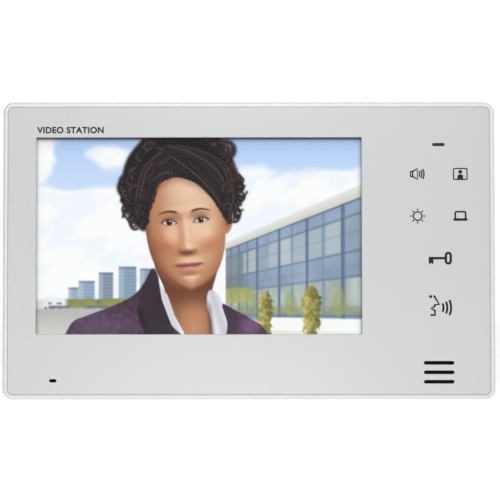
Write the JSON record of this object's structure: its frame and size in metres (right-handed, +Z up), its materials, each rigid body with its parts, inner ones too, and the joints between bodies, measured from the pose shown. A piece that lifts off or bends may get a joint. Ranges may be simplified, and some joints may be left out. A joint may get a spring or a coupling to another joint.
{
  "type": "video intercom monitor",
  "caption": "Slim wall-hung indoor station with a wide colour screen, flat touch marks, speaker slots and a steel hook bracket; it lifts off its hooks for wiring.",
  "frame": {"origin": "centre of the bracket's screw holes, on the wall plane behind the bracket", "axes": "+X to the viewer's right along the long side, +Y into the wall, +Z up; the screen faces -Y"},
  "size_m": [0.23, 0.025, 0.139],
  "materials": {
    "zinc_steel": "zinc plated pressed sheet",
    "case_plastic": "pearl white, fine satin moulding",
    "panel_plastic": "pale silver grey, fine metallic satin",
    "clear_acrylic": "clear polished acrylic",
    "foam_black": "closed-cell foam",
    "sheet_steel": "tinned thin sheet",
    "display_glass": "display glass, lit",
    "white_film": "matt white",
    "amber_film": "polyimide film",
    "dark_plastic": "fine texture",
    "board_green": "solder mask",
    "chip_black": "moulded epoxy",
    "capacitor_can": "drawn can",
    "ferrite": "sintered",
    "white_nylon": "natural nylon",
    "terminal_grey": "moulded nylon",
    "light_pipe": "smoked acrylic",
    "mesh_black": "woven acoustic mesh",
    "cone_paper": "coated paper",
    "copper_wire": "enamelled wire",
    "lead_rubber": "sheathed lead",
    "boot_rubber": "moulded rubber",
    "screw_steel": "zinc plated",
    "label_film": "blank silver film",
    "lever_orange": "moulded"
  },
  "bodies": {
    "wall_mount": {"wall_bracket": "zinc_steel"},
    "monitor": {"rear_cover": "case_plastic", "front_cover": "case_plastic", "front_panel": "panel_plastic", "panel_tape": "foam_black", "screen_window": "clear_acrylic", "lcd_gasket": "foam_black", "lcd_bezel": "sheet_steel", "lcd_cell": "display_glass", "lcd_diffuser": "white_film", "lcd_light_guide": "clear_acrylic", "lcd_led_strip": "white_film", "lcd_rear_tray": "sheet_steel", "lcd_flex": "amber_film", "inner_frame": "dark_plastic", "main_board": "board_green", "integrated_circuits": "chip_black", "shield_can": "sheet_steel", "electrolytic_capacitors": "capacitor_can", "power_inductor": "ferrite", "line_transformer": "ferrite", "board_connectors": "white_nylon", "terminal_block": "terminal_grey", "terminal_clamps": "sheet_steel", "touch_board": "board_green", "touch_controller": "chip_black", "status_led": "white_film", "led_light_pipe": "light_pipe", "touch_ribbon": "white_film", "speaker_mesh": "mesh_black", "speaker_gasket": "foam_black", "speaker_frame": "sheet_steel", "speaker_cone": "cone_paper", "speaker_magnet": "ferrite", "speaker_coil": "copper_wire", "speaker_lead": "lead_rubber", "microphone_capsule": "capacitor_can", "microphone_boot": "boot_rubber", "microphone_lead": "lead_rubber", "power_switch_body": "dark_plastic", "case_screws": "screw_steel", "frame_screws": "screw_steel", "board_screws": "screw_steel", "speaker_screws": "screw_steel", "rating_label": "label_film"},
    "power_switch": {"power_switch_knob": "dark_plastic"},
    "terminal_release_1": {"terminal_lever_1": "lever_orange"},
    "terminal_release_2": {"terminal_lever_2": "lever_orange"},
    "terminal_release_3": {"terminal_lever_3": "lever_orange"},
    "terminal_release_4": {"terminal_lever_4": "lever_orange"},
    "terminal_release_5": {"terminal_lever_5": "lever_orange"},
    "terminal_release_6": {"terminal_lever_6": "lever_orange"}
  },
  "joints": [
    {"name": "monitor_lift", "type": "slide", "parent": "wall_mount", "child": "monitor", "axis": [0, 0, 1], "range_m": [0, 0.007]},
    {"name": "power_switch_slide", "type": "slide", "parent": "monitor", "child": "power_switch", "axis": [1, 0, 0], "range_m": [0, 0.003]},
    {"name": "terminal_release_1_press", "type": "slide", "parent": "monitor", "child": "terminal_release_1", "axis": [0, -1, 0], "range_m": [0, 0.0011], "stiffness_N_per_m": 300, "springref_m": -0.001},
    {"name": "terminal_release_2_press", "type": "slide", "parent": "monitor", "child": "terminal_release_2", "axis": [0, -1, 0], "range_m": [0, 0.0011], "stiffness_N_per_m": 300, "springref_m": -0.001},
    {"name": "terminal_release_3_press", "type": "slide", "parent": "monitor", "child": "terminal_release_3", "axis": [0, -1, 0], "range_m": [0, 0.0011], "stiffness_N_per_m": 300, "springref_m": -0.001},
    {"name": "terminal_release_4_press", "type": "slide", "parent": "monitor", "child": "terminal_release_4", "axis": [0, -1, 0], "range_m": [0, 0.0011], "stiffness_N_per_m": 300, "springref_m": -0.001},
    {"name": "terminal_release_5_press", "type": "slide", "parent": "monitor", "child": "terminal_release_5", "axis": [0, -1, 0], "range_m": [0, 0.0011], "stiffness_N_per_m": 300, "springref_m": -0.001},
    {"name": "terminal_release_6_press", "type": "slide", "parent": "monitor", "child": "terminal_release_6", "axis": [0, -1, 0], "range_m": [0, 0.0011], "stiffness_N_per_m": 300, "springref_m": -0.001}
  ]
}
